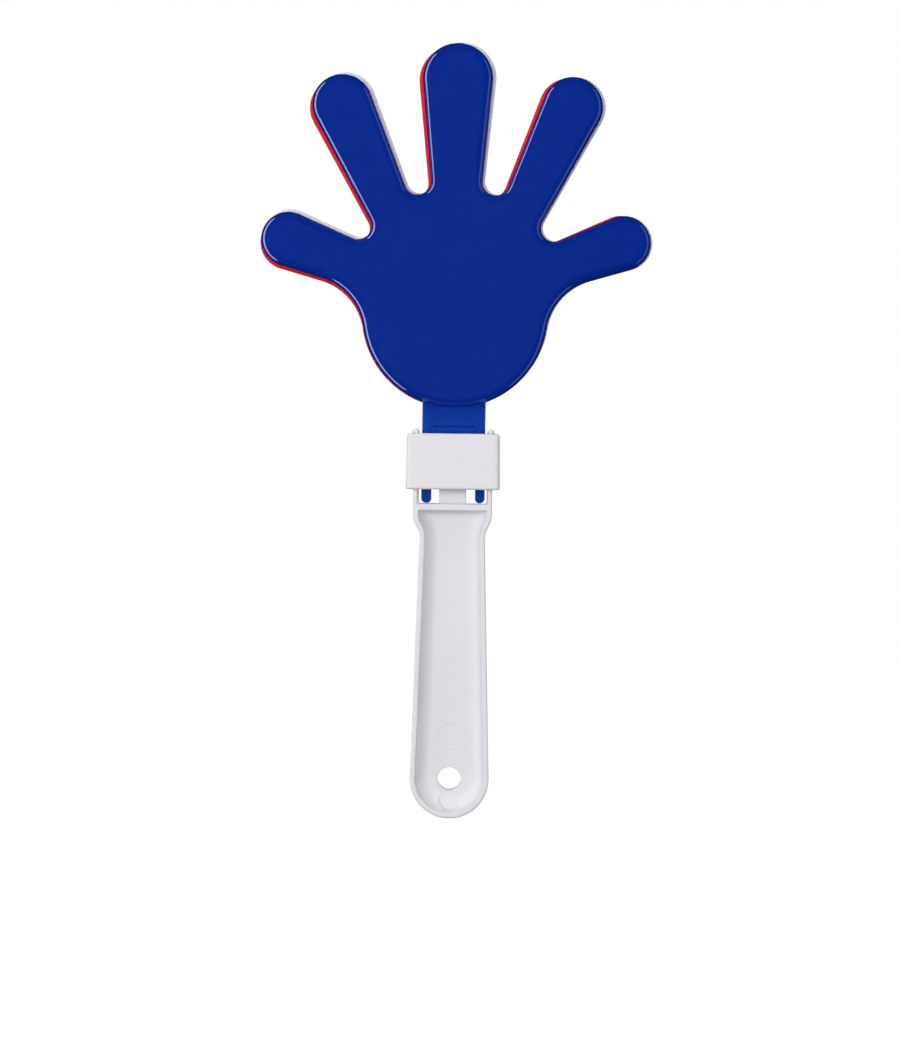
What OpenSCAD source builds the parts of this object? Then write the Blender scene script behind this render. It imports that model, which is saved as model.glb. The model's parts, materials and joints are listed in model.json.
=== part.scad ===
// Hand clapper: a fixed middle hand between two hands that swing on a forked handle.
// The handle stands upright along +Z, the front hand faces -Y, and the origin is the middle of the grip.

/* [Handle] */
// Length of the grip, from its rounded end to the top of the cross bar
grip_length = 113; // [100:0.1:130]
// Radius of the grip's rounded end
grip_end_r = 14.2; // [13:0.1:15]
// Lean of each side of the grip towards the neck, in degrees
grip_taper = 1.65; // [1.2:0.05:2]
// Depth of the handle from front to back
handle_depth = 17.6; // [15:0.1:22]
// Rounding of the handle's outside edges
handle_edge_r = 0.8; // [0.3:0.1:1.2]
// Width of the flat rim around each trough
rim_w = 1.8; // [1.3:0.1:2.4]
// Distance over which a trough's wall curves down to its floor
trough_curve = 5; // [3:0.1:5.5]
// Slope of the wall at the top of each trough, as a share of its curve
trough_top_slope = 0.3; // [0.1:0.05:1]
// Thickness of the web between the front and back troughs
web_t = 5.4; // [4.4:0.1:7]
// Height of the cross bar
bar_h = 2.3; // [1.5:0.1:4]
// Radius of the two bends that make each shoulder
shoulder_r = 8; // [7.6:0.1:10]
// Distance from the top of the cross bar down to the top of the shoulders
shoulder_drop = 3.9; // [3:0.1:8]
// Diameter of the hang hole
hang_hole_d = 8.3; // [4:0.1:10]
// Distance of the hang hole below the centre of the rounded end
hang_hole_drop = 0.7; // [0:0.1:2]

/* [Neck and collar] */
// Width of the neck, over the outside of both rails
neck_w = 28.3; // [27:0.1:30]
// Thickness of each rail
rail_t = 1.7; // [1.4:0.05:2.4]
// Width of the post that holds the middle hand's tail
post_w = 9.7; // [9:0.1:12]
// Depth of the post from front to back
post_depth = 12; // [8:0.1:15]
// Height of the window between the cross bar and the collar
window_h = 5.1; // [3.8:0.1:8]
// Height of the collar
collar_h = 20.1; // [15:0.1:30]
// Thickness of the collar's walls
collar_wall = 2.4; // [1.5:0.05:3]
// Rounding of the collar's upright edges
collar_corner_r = 1.8; // [1.4:0.1:2.5]
// Rounding of the collar's top and bottom edges
collar_edge_r = 0.9; // [0.3:0.1:1.3]
// Clearance between the collar and the handle
collar_fit = 0.2; // [0.1:0.05:0.35]
// Height of the lips that stop the collar
lip_h = 1.5; // [1:0.1:3]
// Distance that each lip stands out from its rail
lip_w = 0.7; // [0.5:0.1:0.9]
// Distance that the snap beads stand out from the rails
bead_w = 0.5; // [0.4:0.05:0.8]
// Height of the snap beads
bead_h = 2.4; // [1.6:0.1:4]

/* [Palm and fingers] */
// Radius of the heel of the palm
palm_r = 33.5; // [31:0.1:36]
// Length of stem that shows between the collar and the palm
stem_show = 9.5; // [6:0.1:16]
// Reach of the middle finger, from the palm's centre to the centre of its tip
middle_reach = 85.5; // [70:0.1:100]
// Radius of the middle fingertip
middle_tip_r = 12.7; // [11:0.1:14]
// Lean of each side of the middle finger towards its root, in degrees
middle_taper = 5.2; // [3:0.1:6]
// Reach of the index and ring fingers, along their own axes
index_reach = 98.5; // [88:0.1:108]
// Radius of the index and ring fingertips
index_tip_r = 10.9; // [9.5:0.1:12]
// Lean of each side of the index and ring fingers towards their roots, in degrees
index_taper = 3.7; // [2.5:0.05:4.5]
// Angle of the index and ring fingers from upright, in degrees
index_splay = 25; // [24:0.5:28]
// Distance that their axes start below the palm's centre
index_root_drop = 13.7; // [11:0.1:16]
// Reach of the little finger and thumb, along their own axes
little_reach = 64.5; // [58:0.1:75]
// Radius of the tips of the little finger and thumb
little_tip_r = 9.85; // [9:0.05:11]
// Lean of each side of the little finger and thumb towards their roots, in degrees
little_taper = 3.45; // [2.5:0.05:4.5]
// Angle of the little finger and thumb from upright, in degrees
little_splay = 69.9; // [68:0.1:72]
// Distance that their axes start above the palm's centre
little_root_rise = 4.5; // [3:0.1:6]
// Radius of the webs between the fingers
web_r = 4.75; // [3:0.05:6]
// Radius of the bend under the little finger and thumb
underarm_r = 21.6; // [18:0.1:24]

/* [Swinging hands] */
// Depth of each swinging hand's tray
tray_depth = 5; // [4:0.1:7]
// Thickness of the tray's wall and face
tray_wall = 1.5; // [1:0.1:1.8]
// Rounding of the edge around the face
tray_edge_r = 2; // [1:0.1:2.5]
// Gap between a closed tray and the middle hand
clap_gap = 0.3; // [0.2:0.1:1]
// Thickness of the stem
stem_t = 2.4; // [2.2:0.1:3]
// Distance that the stem sits back from the tray's rim
stem_setback = 0.2; // [0.1:0.05:0.6]
// Play of the stem between the rails, on each side
side_play = 1.1; // [0.8:0.05:1.4]
// Length of stem that runs up inside the tray
stem_root = 5; // [3:0.1:12]
// Width of each leg of the forked stem
leg_w = 3.3; // [2.4:0.1:4]
// Length of the legs
leg_length = 13; // [8:0.1:14]
// Clearance under the ends of the legs
leg_fit = 0.2; // [0.15:0.05:0.4]
// Distance from each edge of the stem to its raised pad
pad_margin = 3.45; // [2:0.05:5]
// Thickness of the pad
pad_t = 0.85; // [0.4:0.05:1.2]
// Distance that the pad shows above the collar
pad_show = 2.7; // [1:0.1:4]
// Height of the hinge pins above the lower edge of the collar
hinge_rise = 2; // [1.8:0.1:4]
// Diameter of the hinge pins
pin_d = 2.1; // [1.6:0.1:2.3]
// Clearance around the hinge pins
pin_fit = 0.2; // [0.15:0.05:0.3]
// Distance from the ends of the hinge pins to the outside of the rails
pin_recess = 0.5; // [0.4:0.05:0.7]
// Lean of the rear hand to the left in its play, in degrees
rear_lean = 0.6; // [0:0.02:0.7]
// Sideways shift of the rear hand within its play
rear_shift = 0.25; // [0:0.05:0.5]

/* [Middle hand] */
// Thickness of the middle hand
plate_t = 2.4; // [1.8:0.1:3]
// Height of the foot of its stem above the lower edge of the collar
stem_foot_rise = 2.4; // [1:0.1:8]
// Width of the tail that plugs into the post and the handle
tail_w = 7.2; // [5:0.1:7.8]
// Length of the tail below the top of the cross bar
tail_length = 14; // [8:0.1:18]
// Clearance at the edges and end of the tail
tail_fit = 0.25; // [0.2:0.05:0.4]
// Distance that the tail is drawn out of its socket
middle_rise = 0.7; // [0:0.1:3]
// Lean of the middle hand to the right, in degrees
middle_lean = 0.46; // [0:0.02:0.6]

/* [Hidden] */

BLUE = [0.04, 0.17, 0.52];
RED = [0.84, 0.12, 0.14];
WHITE = [0.88, 0.88, 0.90];

// Steps of the arcs in the outlines and of the rounded edges
tip_steps = 14;
web_steps = 8;
palm_steps = 20;
end_steps = 20;
bend_steps = 6;
edge_steps = 4;
// Facets of the drawn circles
$fn = 48;
// Overlap that makes joined shapes one solid, and that lets cuts break through
overlap = 0.5;

// Heights along the handle
bar_top = grip_length / 2;
end_z = grip_end_r - grip_length / 2;
hole_z = end_z - hang_hole_drop;
shoulder_z = bar_top - shoulder_drop;
collar_z = bar_top + window_h;
collar_top = collar_z + collar_h;
lip_z = collar_top + collar_fit;
rail_top = lip_z + lip_h;
hinge_z = collar_z + hinge_rise;
stem_foot = collar_z + stem_foot_rise;
fork_z = bar_top + leg_fit + leg_length;
palm_z = collar_top + stem_show + palm_r;

// Half widths of the neck, from the rails inwards
rail_inner = neck_w / 2 - rail_t;
stem_half = rail_inner - side_play;
pad_half = stem_half - pad_margin;
collar_inner = neck_w / 2 + collar_fit;

// Depths from the middle plane
tray_y = plate_t / 2 + clap_gap;
stem_y = tray_y + stem_setback;
hinge_y = stem_y + stem_t / 2;
collar_inner_depth = handle_depth / 2 + collar_fit;

// Each finger is its splay, the height of its root from the palm's centre, its reach, tip radius and taper
function little(side) = [side * little_splay, little_root_rise, little_reach, little_tip_r, little_taper];
function index(side) = [side * index_splay, -index_root_drop, index_reach, index_tip_r, index_taper];
middle = [0, 0, middle_reach, middle_tip_r, middle_taper];
fingers = [little(1), index(1), middle, index(-1), little(-1)];
palm = [0, palm_z];

function unit(angle) = [cos(angle), sin(angle)];

function arc(centre, r, from, to, steps) =
    [for (i = [0 : steps]) centre + r * unit(from + (to - from) * i / steps)];

// A list without its first item
function rest(list) = [for (i = [1 : len(list) - 1]) list[i]];

function reversed(list) = [for (i = [len(list) - 1 : -1 : 0]) list[i]];

// Points mirrored to the left, in the order that keeps an outline anticlockwise
function mirrored(points) = [for (p = reversed(points)) [-p[0], p[1]]];

// Centre of a fingertip, and the directions that the finger's two sides face
function tip(f) = palm + [0, f[1]] + f[2] * [sin(f[0]), cos(f[0])];
function right_face(f) = -f[0] - f[4];
function left_face(f) = 180 - f[0] + f[4];

// Point at distances a and b along the directions that face two ways
function crossing(face_a, a, face_b, b) =
    [a * sin(face_b) - b * sin(face_a), b * cos(face_a) - a * cos(face_b)] / sin(face_b - face_a);

// Centre of the web between a finger and the next one on its left
function web_centre(f, g) = crossing(
    left_face(f), tip(f) * unit(left_face(f)) + f[3] + web_r,
    right_face(g), tip(g) * unit(right_face(g)) + g[3] + web_r);

// Centre of the bend between the palm and the finger that is lowest on the right
underarm_face = right_face(fingers[0]);
underarm_out = (tip(fingers[0]) - palm) * unit(underarm_face) + little_tip_r + underarm_r;
underarm_along = sqrt(pow(palm_r + underarm_r, 2) - pow(underarm_out, 2));
underarm = underarm_out * unit(underarm_face) + underarm_along * unit(underarm_face + 90);
underarm_dip = -atan2(underarm[1], underarm[0]);

// Outline of a hand, drawn in by an inset, anticlockwise from the left of the palm's heel
function hand_outline(inset) =
    let (under = arc(palm + underarm, underarm_r + inset,
             180 - underarm_dip, 180 + underarm_face, web_steps),
         bend = rest(under))
    concat(
        arc(palm, palm_r - inset, 180 + underarm_dip, 360 - underarm_dip, palm_steps),
        bend,
        [for (i = [0 : len(fingers) - 1]) each finger_outline(i, inset)],
        mirrored(bend));

// A fingertip, and the web on its left if there is a finger there
function finger_outline(i, inset) = concat(
    arc(tip(fingers[i]), fingers[i][3] - inset, right_face(fingers[i]), left_face(fingers[i]), tip_steps),
    i == len(fingers) - 1 ? [] :
        arc(web_centre(fingers[i], fingers[i + 1]), web_r + inset,
            180 + left_face(fingers[i]), 180 + right_face(fingers[i + 1]), web_steps));

// Centres of the two bends of the right shoulder, and the direction from the upper to the lower
bend_upper = [neck_w / 2 - shoulder_r, shoulder_z];
bend_face = grip_taper - acos((grip_end_r + shoulder_r
    - (bend_upper - [0, end_z]) * unit(grip_taper)) / (2 * shoulder_r));
bend_lower = bend_upper + 2 * shoulder_r * unit(bend_face);

// Right side of the handle up to a height, drawn in by an inset
function handle_side(inset, top) = concat(
    arc(bend_lower, shoulder_r + inset, 180 + grip_taper, 180 + bend_face, bend_steps),
    rest(arc(bend_upper, shoulder_r - inset, bend_face, 0, bend_steps)),
    [[neck_w / 2 - inset, top]]);

// Outline of the handle up to a height, anticlockwise from the left of its rounded end
function handle_outline(inset, top) = concat(
    arc([0, end_z], grip_end_r - inset, 180 - grip_taper, 360 + grip_taper, end_steps),
    handle_side(inset, top),
    mirrored(handle_side(inset, top)));

function corner(x, y, r, from) = arc([x, y], r, from, from + 90, bend_steps);

// Outline of the collar, drawn in by an inset
function collar_outline(inset) =
    let (r = collar_corner_r - inset,
         x = collar_inner + collar_wall - collar_corner_r,
         y = collar_inner_depth + collar_wall - collar_corner_r)
    concat(corner(x, y, r, 0), corner(-x, y, r, 90), corner(-x, -y, r, 180), corner(x, -y, r, 270));

// Closed ring along an outline, whose section is a list of insets and heights, clockwise from its outside
module ring(section, outline) {
    rings = [for (s = section) [for (p = outline(s[0])) [p[0], p[1], s[1]]]];
    n = len(rings[0]);
    m = len(rings);
    polyhedron(
        points = [for (r = rings) each r],
        faces = [for (j = [0 : m - 1], i = [0 : n - 1])
            let (next = (i + 1) % n, above = (j + 1) % m * n)
            each [[j * n + i, above + i, j * n + next], [j * n + next, above + i, above + next]]]);
}

// What is cut away to round the upper edge of an outline at a height
module edge_cut(height, r, outline) {
    ring(concat(
        [[-overlap, height - r], [-overlap, height + overlap], [r, height + overlap]],
        [for (i = [edge_steps : -1 : 0])
            [r * (1 - cos(90 * i / edge_steps)), height - r + r * sin(90 * i / edge_steps)]]),
        outline);
}

// Slab of an outline between two heights, with both edges rounded
module slab(low, high, r, outline) {
    difference() {
        translate([0, 0, low]) linear_extrude(high - low) polygon(outline(0));
        edge_cut(high, r, outline);
        translate([0, 0, low]) mirror([0, 0, 1]) edge_cut(0, r, outline);
    }
}

// Turns a shape drawn on the floor to stand up, with its height towards the front
module upright() {
    rotate([90, 0, 0]) children();
}

// Plate standing in the XZ plane between two distances in front of the middle plane
module plate(near, far) {
    upright() translate([0, 0, near]) linear_extrude(far - near) children();
}

module both_sides() {
    children();
    mirror([1, 0, 0]) children();
}

// Hollow of the front trough, from in front of the rim to its floor
module trough() {
    rim_level = handle_depth / 2;
    floor_level = web_t / 2;
    floor_inset = rim_w + trough_curve;
    wall = [for (i = [edge_steps : -1 : 0])
        [floor_inset - trough_curve * cos(90 * i / edge_steps),
         rim_level - (rim_level - floor_level) * sin(90 * i / edge_steps)]];
    outline = function(inset)
        handle_outline(inset, bar_top - bar_h - trough_top_slope * (inset - rim_w));
    upright() ring(concat(wall, [[rim_w, rim_level + overlap],
        [floor_inset + overlap, rim_level + overlap], [floor_inset + overlap, floor_level]]), outline);
    plate(floor_level, rim_level + overlap) polygon(outline(floor_inset));
}

// Stop lip at the top of the right rail, with a sloped top
module lip() {
    plate(handle_edge_r - handle_depth / 2, handle_depth / 2 - handle_edge_r)
        polygon([[neck_w / 2 - overlap, lip_z], [neck_w / 2 + lip_w, lip_z],
            [neck_w / 2 + lip_w, rail_top - lip_w], [neck_w / 2, rail_top],
            [neck_w / 2 - overlap, rail_top]]);
}

// Ridge on the right side of the neck, half way up the collar
module snap_ridge(reach, half_height, half_depth) {
    mid = collar_z + collar_h / 2;
    plate(-half_depth, half_depth)
        polygon([[reach - bead_w, mid - half_height], [reach, mid], [reach - bead_w, mid + half_height],
            [reach - bead_w - overlap, mid + half_height], [reach - bead_w - overlap, mid - half_height]]);
}

// Grip with its troughs, and the two rails with their hinge holes
module fork_and_grip() {
    difference() {
        upright() slab(-handle_depth / 2, handle_depth / 2, handle_edge_r,
            function(inset) handle_outline(inset, rail_top - inset));
        trough();
        mirror([0, 1, 0]) trough();
        plate(-handle_depth / 2 - overlap, handle_depth / 2 + overlap)
            translate([-rail_inner, bar_top]) square([2 * rail_inner, rail_top - bar_top + overlap]);
        for (y = [-hinge_y, hinge_y])
            translate([0, y, hinge_z]) rotate([0, 90, 0])
                cylinder(d = pin_d + 2 * pin_fit, h = neck_w + overlap, center = true);
    }
}

// Post on the cross bar, up to the foot of the middle hand's stem
module post() {
    plate(-post_depth / 2, post_depth / 2)
        translate([-post_w / 2, bar_top - overlap]) square([post_w, stem_foot - bar_top + overlap]);
}

// Slot for the tail, through the post and down into the web
module socket() {
    width = tail_w + 2 * tail_fit;
    low = bar_top - tail_length - tail_fit;
    plate(-plate_t / 2, plate_t / 2)
        translate([-width / 2, low]) square([width, stem_foot - low + overlap]);
}

module handle() {
    color(WHITE) {
        difference() {
            union() {
                fork_and_grip();
                post();
            }
            socket();
            translate([0, 0, hole_z]) upright() cylinder(d = hang_hole_d, h = handle_depth, center = true);
        }
        both_sides() lip();
        both_sides() snap_ridge(neck_w / 2 + bead_w, bead_h / 2, handle_depth / 2 - handle_edge_r);
    }
}

module collar() {
    color(WHITE)
        difference() {
            slab(collar_z, collar_top, collar_edge_r, function(inset) collar_outline(inset));
            translate([-collar_inner, -collar_inner_depth, collar_z - overlap])
                cube([2 * collar_inner, 2 * collar_inner_depth, collar_h + 2 * overlap]);
            both_sides() snap_ridge(collar_inner + bead_w, bead_h / 2 + collar_fit, handle_depth / 2);
        }
}

// Tray of a swinging hand, open towards the middle plane
module tray() {
    face = tray_y + tray_depth;
    difference() {
        plate(tray_y, face) polygon(hand_outline(0));
        plate(tray_y - overlap, face - tray_wall) polygon(hand_outline(tray_wall));
        upright() edge_cut(face, tray_edge_r, function(inset) hand_outline(inset));
    }
}

// Outline of the forked stem, with a round end on each leg
module fork() {
    leg_end = bar_top + leg_fit + leg_w / 2;
    top = palm_z - palm_r + tray_wall + stem_root;
    right = concat(
        [[stem_half - leg_w, fork_z]],
        arc([stem_half - leg_w / 2, leg_end], leg_w / 2, 180, 360, web_steps),
        [[stem_half, top]]);
    polygon(concat(right, mirrored(right)));
}

// Side view of the stem, with a rounded foot
module stem_side() {
    foot = [-hinge_y, bar_top + leg_fit + stem_t / 2];
    polygon(concat(arc(foot, stem_t / 2, 180, 360, web_steps),
        [[stem_t / 2 - hinge_y, palm_z], [-stem_t / 2 - hinge_y, palm_z]]));
}

// Swinging hand in the front position
module swinging_hand() {
    tray();
    intersection() {
        plate(stem_y, stem_y + stem_t) fork();
        rotate([90, 0, 90]) linear_extrude(2 * stem_half + overlap, center = true) stem_side();
    }
    plate(hinge_y, stem_y + stem_t + pad_t)
        translate([-pad_half, fork_z]) square([2 * pad_half, collar_top + pad_show - fork_z]);
    both_sides()
        translate([stem_half - leg_w / 2, -hinge_y, hinge_z]) rotate([0, 90, 0])
            cylinder(d = pin_d, h = neck_w / 2 - pin_recess - stem_half + leg_w / 2);
}

module front_hand() {
    color(BLUE) swinging_hand();
}

module rear_hand() {
    color(RED)
        translate([rear_shift, 0, hinge_z]) rotate([0, -rear_lean, 0]) translate([0, 0, -hinge_z])
            mirror([0, 1, 0]) swinging_hand();
}

module middle_hand() {
    color(WHITE)
        translate([0, 0, bar_top + middle_rise]) rotate([0, middle_lean, 0]) translate([0, 0, -bar_top])
            plate(-plate_t / 2, plate_t / 2) {
                polygon(hand_outline(0));
                translate([-stem_half, stem_foot]) square([2 * stem_half, palm_z - stem_foot]);
                translate([-tail_w / 2, bar_top - tail_length]) square([tail_w, palm_z - bar_top]);
            }
}

handle();
collar();
front_hand();
middle_hand();
rear_hand();
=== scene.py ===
import json
import math
from collections import namedtuple

import bmesh
import bpy
from mathutils import Matrix, Vector


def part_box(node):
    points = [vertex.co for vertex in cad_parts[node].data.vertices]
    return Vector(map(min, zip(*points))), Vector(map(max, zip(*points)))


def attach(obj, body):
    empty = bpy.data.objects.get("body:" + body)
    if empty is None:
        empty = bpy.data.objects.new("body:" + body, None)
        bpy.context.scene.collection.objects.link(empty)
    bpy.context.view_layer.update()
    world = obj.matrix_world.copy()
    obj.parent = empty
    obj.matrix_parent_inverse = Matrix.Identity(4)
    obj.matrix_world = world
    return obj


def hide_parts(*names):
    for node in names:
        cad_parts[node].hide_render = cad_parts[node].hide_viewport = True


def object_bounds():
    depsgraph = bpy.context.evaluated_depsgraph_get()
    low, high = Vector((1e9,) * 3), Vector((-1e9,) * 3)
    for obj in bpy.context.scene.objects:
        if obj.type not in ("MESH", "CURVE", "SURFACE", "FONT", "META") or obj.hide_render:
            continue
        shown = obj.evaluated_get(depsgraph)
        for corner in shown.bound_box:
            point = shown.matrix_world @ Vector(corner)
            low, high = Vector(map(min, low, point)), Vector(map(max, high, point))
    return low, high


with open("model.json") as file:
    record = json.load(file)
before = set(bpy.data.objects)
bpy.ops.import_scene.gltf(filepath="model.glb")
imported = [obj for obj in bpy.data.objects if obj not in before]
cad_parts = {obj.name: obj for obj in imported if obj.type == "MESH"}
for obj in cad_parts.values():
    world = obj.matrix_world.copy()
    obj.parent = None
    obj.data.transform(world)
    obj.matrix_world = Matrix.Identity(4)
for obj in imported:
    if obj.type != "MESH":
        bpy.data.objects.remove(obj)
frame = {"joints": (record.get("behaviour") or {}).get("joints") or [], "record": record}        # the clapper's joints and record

cad_low, cad_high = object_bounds()

# Sizes are in millimetres and angles in degrees, as in the part
MM = 0.001


def corners(node):
    """Lowest and highest corner of a node, in millimetres."""
    low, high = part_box(node)
    return low / MM, high / MM


def named(rows, name):
    """The row with a name, from a list in the frame."""
    return next(row for row in rows if row["name"] == name)


# Places and sizes that the frame gives: its origin is half way from the grip's end to the top of the bar
handle_low, handle_high = corners("handle")
collar_low, collar_high = corners("collar")
front_low = corners("front_hand")[0]
middle_high = corners("middle_hand")[1]
hang_hole = named(frame["record"]["mounts"], "hang_hole")
hole_z = hang_hole["pos_m"][2] / MM
hole_r = hang_hole["dims"]["r_mm"]
web_half = hang_hole["dims"]["length_mm"] / 2
front_swing = named(frame["joints"], "front_swing")
hinge_y = -front_swing["pos_m"][1] / MM
hinge_z = front_swing["pos_m"][2] / MM
handle_half = handle_high.y
rail_top = handle_high.z
bar_top = -handle_low.z
face = -front_low.y
plate_half = middle_high.y

# Handle
grip_end_r = 14.2
end_z = handle_low.z + grip_end_r
grip_taper = 1.65
handle_edge_r = 0.7
bar_h = 2.3
shoulder_r = 8
shoulder_drop = 3.9
neck_half = 14.15
rail_t = 1.7
rail_corner_r = 0.8
hole_edge_r = 0.25
pin_hole_r = 1.25
pin_hole_edge = 0.2
lip_h = 1.5
lip_edge_r = 0.2

# Troughs of the handle: the corners take a share of the room above the shoulders at most
rim_w = 1.8
rim_edge_r = 0.3
trough_curve = 5
trough_top_slope = 0.3
trough_corner_r = 0.7
trough_corner_share = 0.8

# Post on the cross bar, and the socket in it
stem_foot_rise = 2.4
stem_foot = collar_low.z + stem_foot_rise
post_half = 4.85
post_face = 6
post_edge_r = 0.4
socket_half = 3.85
socket_depth = 14.25
socket_edge_r = 0.2

# Marks that the mould leaves in the trough, with their height above the centre of the grip's end
EjectorMark = namedtuple("EjectorMark", "r rise depth")
ejector_marks = [EjectorMark(r=4.1, rise=14.8, depth=0.18), EjectorMark(r=3.3, rise=-8.3, depth=0.15)]
hole_ring_inner_r = 4.7
hole_ring_outer_r = 5.6
hole_ring_h = 0.12

# Collar
collar_wall = 2.4
collar_corner_r = 1.8
collar_edge_r = 0.9
collar_mouth_r = 0.4
collar_mouth_corner_r = 0.35
collar_draft = 0.27

# Trays of the swinging hands
tray_wall = 1.5
tray_edge_r = 3.2
tray_rim_r = 0.35
tray_floor_r = 0.8
clap_gap = 0.3

# Stems of the swinging hands, with their legs, pads and pins
stem_show = 9.5
stem_half = 11.35
stem_t = 2.4
stem_edge_r = 0.45
stem_root = 5
leg_w = 3.3
leg_length = 13
leg_fit = 0.2
fork_z = bar_top + leg_fit + leg_length
pad_half = 7.9
pad_t = 0.85
pad_edge_r = 0.45
pad_corner_r = 0.9
pad_foot = fork_z + 2 * pad_edge_r
pad_show = 2.4
pad_top = collar_high.z + pad_show
pin_r = 1.05
pin_edge_r = 0.3
pin_recess = 0.5

# Play of the rear hand
rear_lean = 0.6
rear_shift = 0.25

# Middle hand, with its tail and its play
plate_edge_r = 0.45
tail_half = 3.6
tail_length = 14
middle_rise = 0.7
middle_lean = 0.46

# Palm and fingers, from the right to the left
palm_r = 33.5
web_r = 4.75
underarm_r = 21.6
palm = Vector((0, collar_high.z + stem_show + palm_r))
Finger = namedtuple("Finger", "splay root reach tip_r taper")
little = Finger(splay=69.9, root=4.5, reach=64.5, tip_r=9.85, taper=3.45)
index = Finger(splay=25, root=-13.7, reach=98.5, tip_r=10.9, taper=3.7)
middle = Finger(splay=0, root=0, reach=85.5, tip_r=12.7, taper=5.2)
fingers = [little, index, middle, index._replace(splay=-index.splay), little._replace(splay=-little.splay)]

# How far joined shapes run into each other, and cuts run past a face
overlap = 1

# Steps of the arcs
ROUND_STEPS = 48
BEND_STEPS = 16
EDGE_STEPS = 6
WALL_STEPS = 14
CORNER_STEPS = 6

# Edges sharper than this stay crisp
SHARP = 32

# Drawing space has the outline on the floor and the depth upwards; upright pieces face -Y
UPRIGHT = Matrix.Rotation(math.radians(90), 4, "X")


# Points
def unit(angle):
    """Vector of length 1 at an angle from the right."""
    return Vector((math.cos(math.radians(angle)), math.sin(math.radians(angle))))


def arc(centre, r, start, end, steps):
    return [Vector(centre) + r * unit(start + (end - start) * i / steps) for i in range(steps + 1)]


def circle(r):
    return arc((0, 0), r, 0, 360, ROUND_STEPS)[:-1]


def rectangle(x0, y0, x1, y1):
    return [Vector(p) for p in ((x0, y0), (x1, y0), (x1, y1), (x0, y1))]


def mirrored(points):
    """Points mirrored to the left, in the order that keeps an outline anticlockwise."""
    return [Vector((-p.x, p.y)) for p in reversed(points)]


def inset(points, distance):
    """An anticlockwise outline drawn in by a distance, point for point."""
    drawn = []
    for i, p in enumerate(points):
        a = (p - points[i - 1]).normalized()
        b = (points[(i + 1) % len(points)] - p).normalized()
        inward = Vector((-a.y - b.y, a.x + b.x))
        drawn.append(p + inward * distance / (1 + a.dot(b)))
    return drawn


# Outline of the hands
def tip(f):
    """Centre of a finger's round tip."""
    return palm + Vector((0, f.root)) + f.reach * unit(90 - f.splay)


def right_face(f):
    """Angle that the right side of a finger faces."""
    return -f.splay - f.taper


def left_face(f):
    """Angle that the left side of a finger faces."""
    return 180 - f.splay + f.taper


def crossing(face_a, a, face_b, b):
    """The point that lies a and b along two directions."""
    u = unit(face_a)
    v = unit(face_b)
    return Vector((a * v.y - b * u.y, b * u.x - a * v.x)) / (u.x * v.y - u.y * v.x)


def web_centre(f, g):
    """Centre of the web between a finger and the next one on its left."""
    return crossing(
        left_face(f), tip(f).dot(unit(left_face(f))) + f.tip_r + web_r,
        right_face(g), tip(g).dot(unit(right_face(g))) + g.tip_r + web_r)


def finger_points():
    """Tips of the fingers and the webs between them."""
    points = []
    for i, f in enumerate(fingers):
        points += arc(tip(f), f.tip_r, right_face(f), left_face(f), ROUND_STEPS)
        if i + 1 < len(fingers):
            g = fingers[i + 1]
            points += arc(web_centre(f, g), web_r, 180 + left_face(f), 180 + right_face(g), BEND_STEPS)
    return points


def hand_outline(heel):
    """Anticlockwise outline of a hand whose heel runs from left to right and ends on the palm's circle."""
    facing = right_face(fingers[0])
    out = (tip(fingers[0]) - palm).dot(unit(facing)) + fingers[0].tip_r + underarm_r
    along = math.sqrt((palm_r + underarm_r) ** 2 - out ** 2)
    underarm = out * unit(facing) + along * unit(facing + 90)
    dip = -math.degrees(math.atan2(underarm.y, underarm.x))
    bend = arc(palm + underarm, underarm_r, 180 - dip, 180 + facing, BEND_STEPS)
    return heel(dip) + bend[1:] + finger_points() + mirrored(bend)[:-1]


def round_heel(dip):
    """Heel of a tray, from one underarm to the other."""
    return arc(palm, palm_r, 180 + dip, 360 - dip, 2 * ROUND_STEPS)


def stemmed_heel(dip):
    """Heel of the middle hand, with its stem and the tail that plugs into the handle."""
    join = math.degrees(math.asin(stem_half / palm_r))
    steps = [(tail_half, bar_top - tail_length), (tail_half, stem_foot), (stem_half, stem_foot)]
    right = [Vector(p) for p in steps] + arc(palm, palm_r, 270 + join, 360 - dip, ROUND_STEPS)
    return mirrored(right) + right


# Outlines of the handle
bend_upper = Vector((neck_half - shoulder_r, bar_top - shoulder_drop))
bend_reach = grip_end_r + shoulder_r - (bend_upper - Vector((0, end_z))).dot(unit(grip_taper))
bend_face = grip_taper - math.degrees(math.acos(bend_reach / (2 * shoulder_r)))
bend_lower = bend_upper + 2 * shoulder_r * unit(bend_face)


def handle_sides(drawn_in, head):
    """Outline of the handle, with a head whose points run from the right shoulder to the middle."""
    grip_end = arc((0, end_z), grip_end_r - drawn_in, 180 - grip_taper, 360 + grip_taper, 2 * ROUND_STEPS)
    lower = arc(bend_lower, shoulder_r + drawn_in, 180 + grip_taper, 180 + bend_face, BEND_STEPS)
    upper = arc(bend_upper, shoulder_r - drawn_in, bend_face, 0, BEND_STEPS)
    side = lower + upper[1:] + head
    return grip_end + side + mirrored(side)


def forked_outline():
    """Outside of the handle, with a rail on each side of the window."""
    inner = neck_half - rail_t
    r = rail_corner_r
    head = arc((neck_half - r, rail_top - r), r, 0, 90, CORNER_STEPS)
    head += arc((inner + r, rail_top - r), r, 90, 180, CORNER_STEPS)
    head += arc((inner - rim_edge_r, bar_top + rim_edge_r), rim_edge_r, 360, 270, CORNER_STEPS)
    return handle_sides(0, head)


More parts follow.
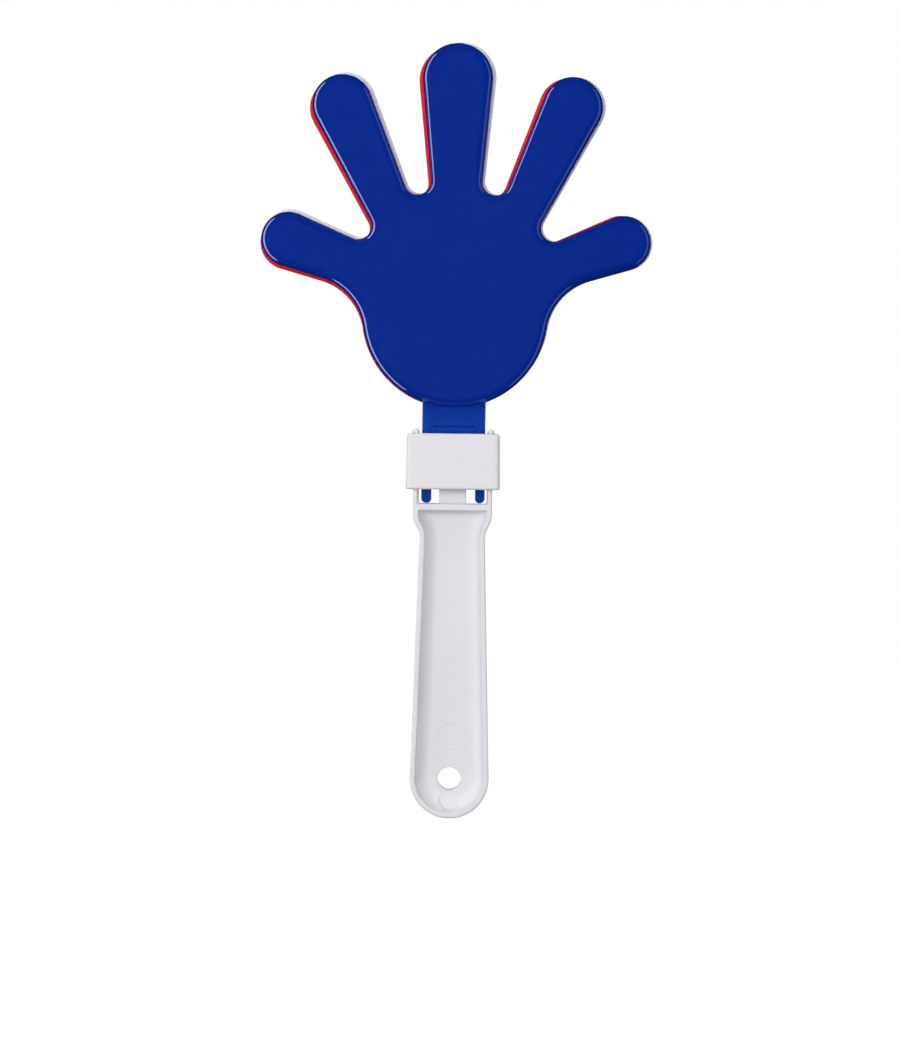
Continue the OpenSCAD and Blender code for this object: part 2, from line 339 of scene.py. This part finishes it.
def trough_outline(drawn_in):
    """Edge of the trough at one level, where its top wall slopes less than its sides."""
    top = bar_top - bar_h - trough_top_slope * (drawn_in - rim_w)
    r = min(trough_corner_r, trough_corner_share * (top - bend_upper.y))
    return handle_sides(drawn_in, arc((neck_half - drawn_in - r, top - r), r, 0, 90, CORNER_STEPS))


# Meshes
def ring(bm, points, height):
    return [bm.verts.new((p.x, p.y, height)) for p in points]


def loft(bm, rings):
    """Quads between closed rings that have as many points each."""
    for low, high in zip(rings, rings[1:]):
        for i in range(len(low)):
            bm.faces.new((low[i - 1], low[i], high[i], high[i - 1]))


def lofted(bm, outline, section):
    """Rings of an outline, drawn in and raised as a section says, with quads between them."""
    rings = [ring(bm, inset(outline, s.x), s.y) for s in section]
    loft(bm, rings)
    return rings


def cap(bm, rings):
    """Flat faces on the first ring and the last."""
    bm.faces.new(rings[0])
    bm.faces.new(rings[-1])


def boundary(ring_of_verts):
    """Edges that join a ring's points."""
    pairs = zip(ring_of_verts, ring_of_verts[1:] + ring_of_verts[:1])
    return [edge for pair in pairs for edge in pair[0].link_edges if edge.other_vert(pair[0]) == pair[1]]


def fill_between(bm, outer, inner):
    """Flat faces between a ring and a ring inside it."""
    edges = boundary(outer) + boundary(inner)
    bmesh.ops.triangle_fill(bm, use_beauty=True, use_dissolve=False, edges=edges)


def to_object(name, bm, matrix):
    """A mesh drawn in millimetres as an object in metres, with its faces turned outwards."""
    bmesh.ops.recalc_face_normals(bm, faces=bm.faces)
    mesh = bpy.data.meshes.new(name)
    bm.to_mesh(mesh)
    bm.free()
    mesh.transform(Matrix.Scale(MM, 4) @ matrix)
    if matrix.determinant() < 0:
        mesh.flip_normals()
    obj = bpy.data.objects.new(name, mesh)
    bpy.context.scene.collection.objects.link(obj)
    return obj


def rounded_side(low, high, r):
    """Section of a side, from its lower edge to its upper one, with both rounded."""
    return arc((r, low + r), r, 270, 180, EDGE_STEPS) + arc((r, high - r), r, 180, 90, EDGE_STEPS)


def rounded_slab(name, outline, low, high, r, matrix=UPRIGHT):
    """Slab of an outline with both edges rounded."""
    bm = bmesh.new()
    cap(bm, lofted(bm, outline, rounded_side(low, high, r)))
    return to_object(name, bm, matrix)


def lathe(name, section, matrix):
    """Solid of revolution about the height, from radii and heights that rise."""
    bm = bmesh.new()
    rings = [ring(bm, circle(r), h) for r, h in section]
    loft(bm, rings)
    cap(bm, rings)
    return to_object(name, bm, matrix)


def combine(target, operation, others):
    """Joins other objects to the target, or cuts them from it, and removes them."""
    for other in others:
        modifier = target.modifiers.new(other.name, "BOOLEAN")
        modifier.operation = operation
        modifier.solver = "EXACT"
        modifier.object = other
    shown = target.evaluated_get(bpy.context.evaluated_depsgraph_get())
    combined = bpy.data.meshes.new_from_object(shown)
    target.modifiers.clear()
    target.data = combined
    for other in others:
        bpy.data.objects.remove(other)
    return target


# Handle
def trough_wall(bm):
    """Faces of the front trough, from the ring at its rim, which is returned, to its floor."""
    depth = handle_half - web_half
    start = math.degrees(math.asin(rim_edge_r / depth))
    section = arc((rim_w - rim_edge_r, handle_half - rim_edge_r), rim_edge_r, 90, 0, EDGE_STEPS)[:-1]
    for i in range(WALL_STEPS + 1):
        u = unit(start + (90 - start) * i / WALL_STEPS)
        section.append(Vector((rim_w + trough_curve * (1 - u.x), handle_half - depth * u.y)))
    rings = [ring(bm, trough_outline(s.x), s.y) for s in section]
    loft(bm, rings)
    bm.faces.new(rings[-1])
    return rings[0]


def handle_body():
    """Grip and rails, with a trough on the front and the back."""
    bm = bmesh.new()
    rings = lofted(bm, forked_outline(), rounded_side(-handle_half, handle_half, handle_edge_r))
    front_mouth = trough_wall(bm)
    kept = set(bm.verts)
    back_mouth = trough_wall(bm)
    for vert in set(bm.verts) - kept:
        vert.co.z = -vert.co.z
    fill_between(bm, rings[-1], front_mouth)
    fill_between(bm, rings[0], back_mouth)
    return to_object("handle_shell", bm, UPRIGHT)


def hole_cutter():
    """Hang hole with a rounded edge in each trough."""
    r = hole_edge_r
    front = arc((hole_r + r, web_half - r), r, 180, 90, EDGE_STEPS)
    front.append(Vector((hole_r + r, handle_half)))
    section = [(p.x, -p.y) for p in reversed(front)] + [(p.x, p.y) for p in front]
    return lathe("hang_hole_cut", section, UPRIGHT @ Matrix.Translation((0, hole_z, 0)))


def hole_ring():
    """Low ring round the front of the hang hole."""
    bm = bmesh.new()
    low = web_half - overlap
    high = web_half + hole_ring_h
    section = [(hole_ring_outer_r, low), (hole_ring_outer_r, high),
               (hole_ring_inner_r, high), (hole_ring_inner_r, low)]
    rings = [ring(bm, circle(r), h) for r, h in section]
    loft(bm, rings + rings[:1])
    return to_object("hole_ring", bm, UPRIGHT @ Matrix.Translation((0, hole_z, 0)))


def ejector_cutter(mark):
    """Flat mark of an ejector pin, sunk in the trough's floor, with an edge that slopes at 45 degrees."""
    mouth = mark.r + 2 * mark.depth
    section = [(mark.r, web_half - mark.depth), (mouth, web_half + mark.depth), (mouth, handle_half)]
    return lathe("ejector_cut", section, UPRIGHT @ Matrix.Translation((0, end_z + mark.rise, 0)))


def pin_hole_cutter(y):
    """Holes for the pins of one hand, through both rails, with a small chamfer outside."""
    flare = pin_hole_r + pin_hole_edge
    right = [(pin_hole_r, neck_half - pin_hole_edge), (flare, neck_half)]
    right.append((flare + overlap, neck_half + overlap))
    section = [(r, -x) for r, x in reversed(right)] + right
    place = Matrix.Translation((0, y, hinge_z)) @ Matrix.Rotation(math.radians(90), 4, "Y")
    return lathe("pin_hole_cut", section, place)


def lip(side):
    """Stop lip at the top of a rail, with a sloped top."""
    reach = handle_high.x
    root = neck_half - rail_t / 2
    low = rail_top - lip_h
    high = rail_top - rim_edge_r
    slope_foot = rail_top - (reach - neck_half)
    points = [(root, low), (reach, low), (reach, slope_foot), (neck_half, high), (root, high)]
    outline = [Vector(p) for p in points]
    if side < 0:
        outline = mirrored(outline)
    half = handle_half - handle_edge_r
    return rounded_slab("lip", outline, -half, half, lip_edge_r)


def post():
    """Post on the cross bar, which holds the tail of the middle hand."""
    outline = rectangle(-post_half, bar_top - overlap, post_half, stem_foot)
    return rounded_slab("post", outline, -post_face, post_face, post_edge_r)


def socket_cutter():
    """Slot for the tail, through the post and down into the web."""
    outline = rectangle(-socket_half, bar_top - socket_depth, socket_half, stem_foot + overlap)
    return rounded_slab("socket_cut", outline, -plate_half, plate_half, socket_edge_r)


def make_handle():
    """Grip and rails with the post, the lips and the ring, and with the holes and marks cut in."""
    obj = handle_body()
    combine(obj, "DIFFERENCE", [pin_hole_cutter(hinge_y), pin_hole_cutter(-hinge_y)])
    combine(obj, "UNION", [post(), hole_ring(), lip(1), lip(-1)])
    marks = [ejector_cutter(mark) for mark in ejector_marks]
    return combine(obj, "DIFFERENCE", [socket_cutter(), hole_cutter()] + marks)


# Collar
def collar_outline(drawn_in, z):
    """Outline of the collar's wall at one height, wider towards its foot."""
    middle_z = (collar_low.z + collar_high.z) / 2
    grow = collar_draft * (middle_z - z) / (collar_high.z - collar_low.z) - drawn_in
    r = max(collar_corner_r - drawn_in, collar_mouth_corner_r)
    x = collar_high.x + grow - r
    y = collar_high.y + grow - r
    points = []
    for cx, cy, start in ((x, y, 0), (-x, y, 90), (-x, -y, 180), (x, -y, 270)):
        points += arc((cx, cy), r, start, start + 90, CORNER_STEPS)
    return points


def make_collar():
    """Sleeve whose section runs up its outside and down its inside."""
    bm = bmesh.new()
    low = collar_low.z
    high = collar_high.z
    mouth = collar_mouth_r
    section = rounded_side(low, high, collar_edge_r)
    section += arc((collar_wall - mouth, high - mouth), mouth, 90, 0, EDGE_STEPS)
    section += arc((collar_wall - mouth, low + mouth), mouth, 0, -90, EDGE_STEPS)
    rings = [ring(bm, collar_outline(s.x, s.y), s.y) for s in section]
    loft(bm, rings + rings[:1])
    return to_object("collar_sleeve", bm, Matrix.Identity(4))


# Hands
def tray(name, matrix):
    """Tray of a swinging hand, with its face to the front."""
    bm = bmesh.new()
    rim = plate_half + clap_gap + tray_rim_r
    floor = face - tray_wall
    section = arc((tray_edge_r, face - tray_edge_r), tray_edge_r, 90, 180, 2 * EDGE_STEPS)
    section += arc((tray_rim_r, rim), tray_rim_r, 180, 270, EDGE_STEPS)
    section += arc((tray_wall - tray_rim_r, rim), tray_rim_r, 270, 360, EDGE_STEPS)
    section += arc((tray_wall + tray_floor_r, floor - tray_floor_r), tray_floor_r, 180, 90, EDGE_STEPS)
    cap(bm, lofted(bm, hand_outline(round_heel), section))
    return to_object(name, bm, matrix)


def fork_outline():
    """Forked stem, with a round end on each leg."""
    foot = (stem_half - leg_w / 2, bar_top + leg_fit + leg_w / 2)
    top = palm.y - palm_r + tray_wall + stem_root
    right = [Vector((stem_half - leg_w, fork_z))]
    right += arc(foot, leg_w / 2, 180, 360, BEND_STEPS)
    right.append(Vector((stem_half, top)))
    return right + mirrored(right)


def pad_outline():
    """Raised pad on the stem, with its upper corners rounded."""
    r = pad_corner_r
    right = [Vector((pad_half, pad_foot))]
    right += arc((pad_half - r, pad_top - r), r, 0, 90, CORNER_STEPS)
    return right + mirrored(right)


def hinge_pin(side, matrix):
    """Pin on the outside of one leg."""
    start = stem_half - leg_w / 2
    end = neck_half - pin_recess
    edge = arc((0, 0), pin_edge_r, 0, 90, EDGE_STEPS)
    section = [(pin_r, start)]
    section += [(pin_r - pin_edge_r + p.x, end - pin_edge_r + p.y) for p in edge]
    place = Matrix.Translation((0, -hinge_y, hinge_z)) @ Matrix.Rotation(math.radians(90 * side), 4, "Y")
    return lathe("pin", section, matrix @ place)


def swinging_hand(name, matrix):
    """Tray, stem, pad and hinge pins as one moulding, in the front place and then moved by a matrix."""
    obj = tray(name, matrix @ UPRIGHT)
    stem_low = hinge_y - stem_t / 2
    stem_high = hinge_y + stem_t / 2
    stem = rounded_slab("stem", fork_outline(), stem_low, stem_high, stem_edge_r, matrix @ UPRIGHT)
    pad = rounded_slab("pad", pad_outline(), hinge_y, stem_high + pad_t, pad_edge_r, matrix @ UPRIGHT)
    return combine(obj, "UNION", [stem, pad, hinge_pin(1, matrix), hinge_pin(-1, matrix)])


def make_front_hand():
    return swinging_hand("front_tray", Matrix.Identity(4))


def make_rear_hand():
    """The same moulding turned to the back, and leaning in its play."""
    lean = Matrix.Rotation(math.radians(-rear_lean), 4, "Y")
    place = Matrix.Translation((rear_shift, 0, hinge_z)) @ lean @ Matrix.Translation((0, 0, -hinge_z))
    return swinging_hand("rear_tray", place @ Matrix.Scale(-1, 4, (0, 1, 0)))


def make_middle_hand():
    """Flat hand, drawn out a little and leaning in its play."""
    lean = Matrix.Rotation(math.radians(middle_lean), 4, "Y")
    place = Matrix.Translation((0, 0, bar_top + middle_rise)) @ lean @ Matrix.Translation((0, 0, -bar_top))
    outline = hand_outline(stemmed_heel)
    return rounded_slab("middle_plate", outline, -plate_half, plate_half, plate_edge_r, place @ UPRIGHT)


# Shader nodes
def add_node(tree, kind, **values):
    """A node with its properties and unlinked inputs set by name."""
    node = tree.nodes.new(kind)
    for name, value in values.items():
        if name in node.inputs:
            node.inputs[name].default_value = value
        else:
            setattr(node, name, value)
    return node


def set_input(tree, socket, value):
    """Gives an input a value, which is another node's output, a number or a colour."""
    if isinstance(value, bpy.types.NodeSocket):
        tree.links.new(value, socket)
    elif isinstance(value, tuple):
        socket.default_value = (*value, 1)
    else:
        socket.default_value = value


def calculate(tree, operation, *values):
    """Result of a calculation on outputs and numbers."""
    node = add_node(tree, "ShaderNodeMath", operation=operation)
    for socket, value in zip(node.inputs, values):
        set_input(tree, socket, value)
    return node.outputs[0]


def spread(tree, source, source_range, target_range):
    """A value moved from one range of numbers to another."""
    node = add_node(tree, "ShaderNodeMapRange")
    node.inputs["From Min"].default_value, node.inputs["From Max"].default_value = source_range
    node.inputs["To Min"].default_value, node.inputs["To Max"].default_value = target_range
    tree.links.new(source, node.inputs["Value"])
    return node.outputs[0]


def mix_colours(tree, factor, first, second):
    node = add_node(tree, "ShaderNodeMix", data_type="RGBA")
    colours = [socket for socket in node.inputs if socket.type == "RGBA"]
    tree.links.new(factor, node.inputs["Factor"])
    set_input(tree, colours[0], first)
    set_input(tree, colours[1], second)
    return next(socket for socket in node.outputs if socket.type == "RGBA")


def mix_shaders(tree, factor, first, second):
    node = add_node(tree, "ShaderNodeMixShader")
    for socket, value in zip(node.inputs, (factor, first, second)):
        tree.links.new(value, socket)
    return node.outputs[0]


def object_place(tree):
    """Place on the object, in metres."""
    return add_node(tree, "ShaderNodeTexCoord").outputs["Object"]


def object_axes(tree):
    """Separate X, Y and Z of a place on the object, in metres."""
    node = add_node(tree, "ShaderNodeSeparateXYZ")
    tree.links.new(object_place(tree), node.inputs[0])
    return node.outputs


# Plastic: each noise has its cycles per metre and its detail, and the bumps are in metres
DRIFT_NOISE = (45, 3)
HAZE_NOISE = (300, 5)
GRAIN_NOISE = (2600, 2)
WAVE_NOISE = (60, 2)
NOISE_ROUGHNESS = 0.55
# Values between which nearly all of a noise lies
NOISE_SPAN = (0.3, 0.7)
GRAIN_DEPTH = 0.0002
WAVE_DEPTH = 0.001
PLASTIC_IOR = 1.55

# Painted light on a stem, which makes it lighter towards the collar and along its left side: its share at
# the heel and away from the left edge, and the widths in which it grows
painted_light_at_heel = 0.3
painted_light_inside = 0.52
painted_light_edge = 3.2
painted_light_start = 1

# Bands across a pad, from its top: a painted highlight below its edge, and painted shade in the corner above
# it
Band = namedtuple("Band", "low high strength")
painted_highlight_band = Band(low=-1, high=-0.2, strength=0.5)
painted_shade_band = Band(low=0, high=0.6, strength=0.6)
band_blur = 0.1
band_end = 0.4

# Pale and deep tint of each colour
WHITE = ((0.79, 0.785, 0.825), (0.775, 0.77, 0.815))
BLUE = ((0.0008, 0.0225, 0.27), (0.0007, 0.0205, 0.255))
RED = ((0.90, 0.020, 0.022), (0.86, 0.018, 0.020))

# Tints of the painted light on a stem and of the painted shade in the corner above its pad, and tints of the
# gloss
BLUE_PAINTED_LIGHT_AND_SHADE = ((0.0008, 0.064, 0.44), (0.0006, 0.009, 0.13))
RED_PAINTED_LIGHT_AND_SHADE = ((0.92, 0.03, 0.03), (0.4, 0.008, 0.008))
BLUE_SHINE = (0.56, 0.66, 1)
RED_SHINE = (1, 0.72, 0.68)


def noise(tree, scale, detail):
    """Noise fixed to the object."""
    node = add_node(tree, "ShaderNodeTexNoise", Scale=scale, Detail=detail, Roughness=NOISE_ROUGHNESS)
    tree.links.new(object_place(tree), node.inputs["Vector"])
    return node.outputs["Fac"]


def painted_light_share(tree, axes):
    """Share of the painted light on the stem, which grows towards the collar and along its left side."""
    heel = palm.y - palm_r
    stem = spread(tree, axes["Z"], ((heel + painted_light_start) * MM, heel * MM), (0, 1))
    down = spread(tree, axes["Z"], (heel * MM, pad_top * MM), (painted_light_at_heel, 1))
    left = spread(tree, axes["X"], ((painted_light_edge - stem_half) * MM, -stem_half * MM), (painted_light_inside, 1))
    return calculate(tree, "MULTIPLY", stem, calculate(tree, "MULTIPLY", down, left))


def painted_pad_band(tree, axes, band):
    """The strength of a painted band across the pad, and nothing outside it."""
    low = pad_top + band.low
    high = pad_top + band.high
    above = spread(tree, axes["Z"], ((low - band_blur) * MM, (low + band_blur) * MM), (0, band.strength))
    below = spread(tree, axes["Z"], ((high - band_blur) * MM, (high + band_blur) * MM), (1, 0))
    across = calculate(tree, "ABSOLUTE", axes["X"])
    beside = spread(tree, across, ((pad_half - band_end) * MM, pad_half * MM), (1, 0))
    return calculate(tree, "MULTIPLY", beside, calculate(tree, "MULTIPLY", above, below))


def moulded_colour(tree, tints, painted_tints):
    """Colour that drifts between two tints, with painted light and painted shade on a stem where it has
    them.
    """
    drift = spread(tree, noise(tree, *DRIFT_NOISE), NOISE_SPAN, (0, 1))
    colour = mix_colours(tree, drift, *tints)
    if painted_tints:
        painted_light, painted_shade = painted_tints
        axes = object_axes(tree)
        # painted light on the stem, lighter towards the collar and along its left side
        colour = mix_colours(tree, painted_light_share(tree, axes), colour, painted_light)
        # painted highlight below the pad's top edge
        colour = mix_colours(tree, painted_pad_band(tree, axes, painted_highlight_band), colour, painted_light)
        # painted shade in the corner above the pad
        colour = mix_colours(tree, painted_pad_band(tree, axes, painted_shade_band), colour, painted_shade)
    return colour


def moulded_bump(tree, grain, wave):
    """Fine grain on slow waves."""
    fine = add_node(tree, "ShaderNodeBump", Strength=grain, Distance=GRAIN_DEPTH)
    slow = add_node(tree, "ShaderNodeBump", Strength=wave, Distance=WAVE_DEPTH)
    tree.links.new(noise(tree, *GRAIN_NOISE), fine.inputs["Height"])
    tree.links.new(noise(tree, *WAVE_NOISE), slow.inputs["Height"])
    tree.links.new(slow.outputs["Normal"], fine.inputs["Normal"])
    return fine.outputs["Normal"]


def moulded_plastic(name, tints, roughness, grain, wave, painted_tints=None, shine=None):
    """Injection-moulded plastic, with an uneven gloss that may have a tint of its own."""
    material = bpy.data.materials.new(name)
    material.use_nodes = True
    tree = material.node_tree
    shader = tree.nodes["Principled BSDF"].inputs
    shader["IOR"].default_value = PLASTIC_IOR
    if shine:
        shader["Specular IOR Level"].default_value = 1
        shader["Specular Tint"].default_value = (*shine, 1)
    haze = spread(tree, noise(tree, *HAZE_NOISE), NOISE_SPAN, roughness)
    tree.links.new(moulded_colour(tree, tints, painted_tints), shader["Base Color"])
    tree.links.new(haze, shader["Roughness"])
    tree.links.new(moulded_bump(tree, grain, wave), shader["Normal"])
    return material


def glossy_plastic(name, tints, painted_tints, shine):
    """Smooth plastic of the swinging hands."""
    return moulded_plastic(name, tints, roughness=(0.07, 0.12), grain=0.02, wave=0.015,
                           painted_tints=painted_tints, shine=shine)


handle_plastic = moulded_plastic("handle_plastic", WHITE, roughness=(0.5, 0.6), grain=0.1, wave=0.02)
collar_plastic = moulded_plastic("collar_plastic", WHITE, roughness=(0.46, 0.56), grain=0.1, wave=0.02)
middle_plastic = moulded_plastic("middle_plastic", WHITE, roughness=(0.34, 0.44), grain=0.05, wave=0.02)
# The stems of the blue and red hands get painted light, a painted highlight and painted shade in their
# colour
blue_plastic = glossy_plastic("blue_plastic", BLUE, BLUE_PAINTED_LIGHT_AND_SHADE, BLUE_SHINE)
red_plastic = glossy_plastic("red_plastic", RED, RED_PAINTED_LIGHT_AND_SHADE, RED_SHINE)


def dress(obj, body, node, material):
    """Shades a piece, gives it its finish and puts it in the place of its node."""
    mesh = obj.data
    mesh.shade_smooth()
    mesh.set_sharp_from_angle(angle=math.radians(SHARP))
    mesh.materials.clear()
    mesh.materials.append(material)
    normals = obj.modifiers.new("normals", "WEIGHTED_NORMAL")
    normals.keep_sharp = True
    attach(obj, body)
    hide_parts(node)


dress(make_handle(), "handle", "handle", handle_plastic)
dress(make_collar(), "handle", "collar", collar_plastic)
dress(make_middle_hand(), "handle", "middle_hand", middle_plastic)
dress(make_front_hand(), "front_hand", "front_hand", blue_plastic)
dress(make_rear_hand(), "rear_hand", "rear_hand", red_plastic)

# Stage, in metres
floor_r = 12
shaded_r = 0.3
white_r = 1
# Share of the background's white that gloss shows
gloss_share = 0.01
# Brightness of the room, and the floor's own white and its grey near the object
room_light = 0.01
floor_glow = 0.92
floor_grey = 0.22


def grey(level):
    return (level, level, level, 1)


def background_share(tree):
    """How much of the background's white a ray sees: all from the camera or through glass, less in gloss."""
    path = add_node(tree, "ShaderNodeLightPath").outputs
    direct = calculate(tree, "MAXIMUM", path["Is Camera Ray"], path["Is Transmission Ray"])
    gloss = calculate(tree, "MULTIPLY", path["Is Glossy Ray"], gloss_share)
    return calculate(tree, "MAXIMUM", direct, gloss)


def floor_material():
    """Floor that is shaded near the object, where it keeps the shadow, and plain white farther off."""
    material = bpy.data.materials.new("floor_white")
    material.use_nodes = True
    tree = material.node_tree
    tree.nodes.remove(tree.nodes["Principled BSDF"])
    seen = background_share(tree)
    distance = add_node(tree, "ShaderNodeVectorMath", operation="LENGTH")
    tree.links.new(object_place(tree), distance.inputs[0])
    fade = spread(tree, distance.outputs["Value"], (shaded_r, white_r), (0, 1))

    matte = add_node(tree, "ShaderNodeBsdfDiffuse", Color=grey(floor_grey))
    glow = add_node(tree, "ShaderNodeEmission", Color=grey(floor_glow))
    white = add_node(tree, "ShaderNodeEmission")
    shaded = add_node(tree, "ShaderNodeAddShader")
    tree.links.new(seen, glow.inputs["Strength"])
    tree.links.new(matte.outputs[0], shaded.inputs[0])
    tree.links.new(glow.outputs[0], shaded.inputs[1])
    share = calculate(tree, "MULTIPLY", fade, seen)
    both = mix_shaders(tree, share, shaded.outputs[0], white.outputs[0])
    tree.links.new(both, tree.nodes["Material Output"].inputs["Surface"])
    return material


def make_floor():
    """Round floor whose edge is lost in the white background. It stops no light and shows in no gloss."""
    bm = bmesh.new()
    bm.faces.new(ring(bm, circle(floor_r), 0))
    mesh = bpy.data.meshes.new("floor")
    bm.to_mesh(mesh)
    bm.free()
    mesh.materials.append(floor_material())
    obj = bpy.data.objects.new("floor", mesh)
    obj.location.z = cad_low.z
    obj.visible_shadow = False
    obj.visible_glossy = False
    bpy.context.scene.collection.objects.link(obj)


def make_world():
    """White background round a dim room."""
    world = bpy.data.worlds.new("studio")
    world.use_nodes = True
    tree = world.node_tree
    room = tree.nodes["Background"]
    room.inputs["Color"].default_value = grey(room_light)
    white = add_node(tree, "ShaderNodeBackground", Color=grey(1))
    both = mix_shaders(tree, background_share(tree), room.outputs[0], white.outputs[0])
    tree.links.new(both, tree.nodes["World Output"].inputs["Surface"])
    bpy.context.scene.world = world


make_floor()
make_world()

# Lights, in metres and watts, aimed at the middle of the object
aim = (cad_low + cad_high) / 2


def softbox(name, bearing, power, size, distance=1, height=0, diffuse=True, glossy=True):
    """Rectangular light at a bearing from the camera's side, turned to the object."""
    light = bpy.data.lights.new(name, "AREA")
    light.shape = "RECTANGLE"
    light.size, light.size_y = size
    light.energy = power
    obj = bpy.data.objects.new(name, light)
    u = unit(bearing - 90)
    obj.location = aim + Vector((u.x * distance, u.y * distance, height))
    obj.rotation_euler = (aim - obj.location).to_track_quat("-Z", "Y").to_euler()
    obj.visible_diffuse = diffuse
    obj.visible_glossy = glossy
    bpy.context.scene.collection.objects.link(obj)


# The wide lights make no reflections, and the two narrow ones draw only the gloss on the edges
softbox("left_key", -54, power=5, size=(0.65, 2.6), glossy=False)
softbox("left_shine", -81, power=19, size=(0.44, 2.8), diffuse=False)
softbox("right_fill", 58, power=6.5, size=(1, 2.2), distance=1.2, glossy=False)
softbox("right_shine", 78, power=2.4, size=(0.44, 2.2), diffuse=False)
softbox("front_fill", -16, power=14, size=(1.1, 1.1), distance=1.2, height=0.02, glossy=False)
softbox("top_fill", 0, power=3, size=(0.8, 0.8), distance=0.45, height=1.2, glossy=False)
for name, bearing in (("back_left", -140), ("back_right", 140)):
    softbox(name, bearing, power=11, size=(0.7, 1.4), distance=1.3, height=0.3, glossy=False)

# Camera: the photograph's frame in pixels, and the pixel of the centre of the grip's end
PHOTO_W = 900
PHOTO_H = 1055
end_pixel = Vector((449.1, 777.5))
# A pixel's size at the outline of the hands, and that outline's distance in front of the middle
mm_per_pixel = 0.3608
outline_depth = 4.5
# Lean of the object in the frame
frame_lean = 0.73
# Distance of the camera, its height above the middle of the frame, and the width of its sensor
camera_distance = 850
view_rise = 17
sensor = 36


def make_camera():
    """Camera at the photograph's viewing angle, with the object where it lies in the photograph's frame."""
    camera = bpy.data.cameras.new("camera")
    frame_h = PHOTO_H * mm_per_pixel
    camera.sensor_width = sensor
    camera.lens = sensor * camera_distance / frame_h
    camera.shift_y = -view_rise / frame_h
    from_end = Vector((PHOTO_W / 2 - end_pixel.x, end_pixel.y - PHOTO_H / 2)) * mm_per_pixel
    from_end += Vector((0, view_rise))
    centre = Matrix.Rotation(math.radians(frame_lean), 2) @ from_end + Vector((0, end_z))
    obj = bpy.data.objects.new("camera", camera)
    obj.location = Vector((centre.x, -camera_distance - outline_depth, centre.y)) * MM
    obj.rotation_euler = (math.radians(90), math.radians(-frame_lean), 0)
    bpy.context.scene.collection.objects.link(obj)
    bpy.context.scene.camera = obj


make_camera()
bpy.context.scene.view_settings.view_transform = "Standard"
